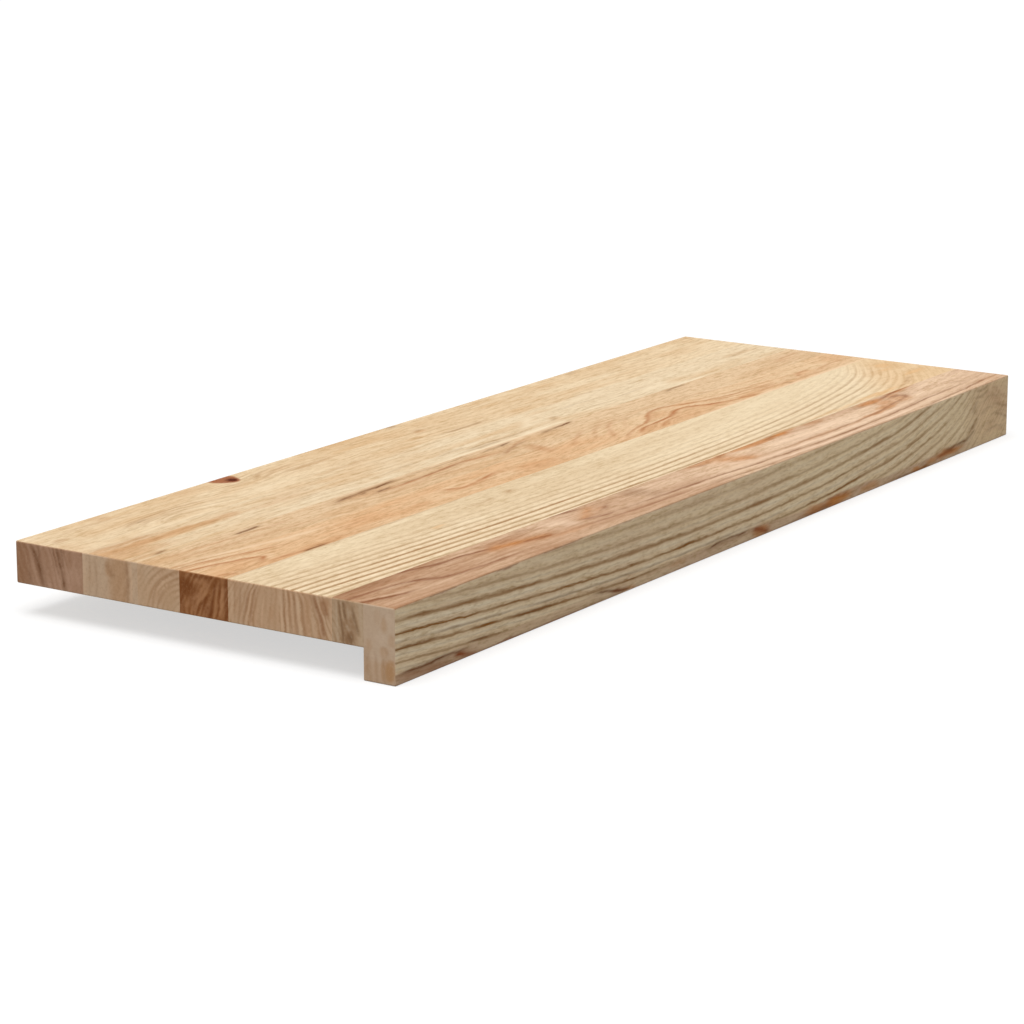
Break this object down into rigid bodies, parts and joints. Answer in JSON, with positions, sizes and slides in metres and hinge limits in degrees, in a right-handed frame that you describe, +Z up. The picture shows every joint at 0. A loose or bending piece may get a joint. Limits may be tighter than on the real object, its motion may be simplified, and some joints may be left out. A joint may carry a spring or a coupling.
{
  "type": "stair tread",
  "caption": "Straight stair tread of bare wood, glued up edge to edge from full-length staves, with a deeper nosing strip along its front edge that turns down over the riser.",
  "frame": {"origin": "under the middle of the tread, on the plane of the nosing's foot", "axes": "+X along the tread, +Y from the nosing to the back edge, +Z up out of the walking surface"},
  "size_m": [0.9, 0.32, 0.052],
  "materials": {
    "pale_wood": "sanded, no coating",
    "tan_wood": "sanded, no coating",
    "rosy_wood": "sanded, no coating"
  },
  "bodies": {
    "root": {"stave_1": "pale_wood", "stave_2": "pale_wood", "stave_3": "tan_wood", "stave_4": "tan_wood", "stave_5": "pale_wood", "stave_6": "rosy_wood", "nosing": "rosy_wood"}
  },
  "joints": []
}
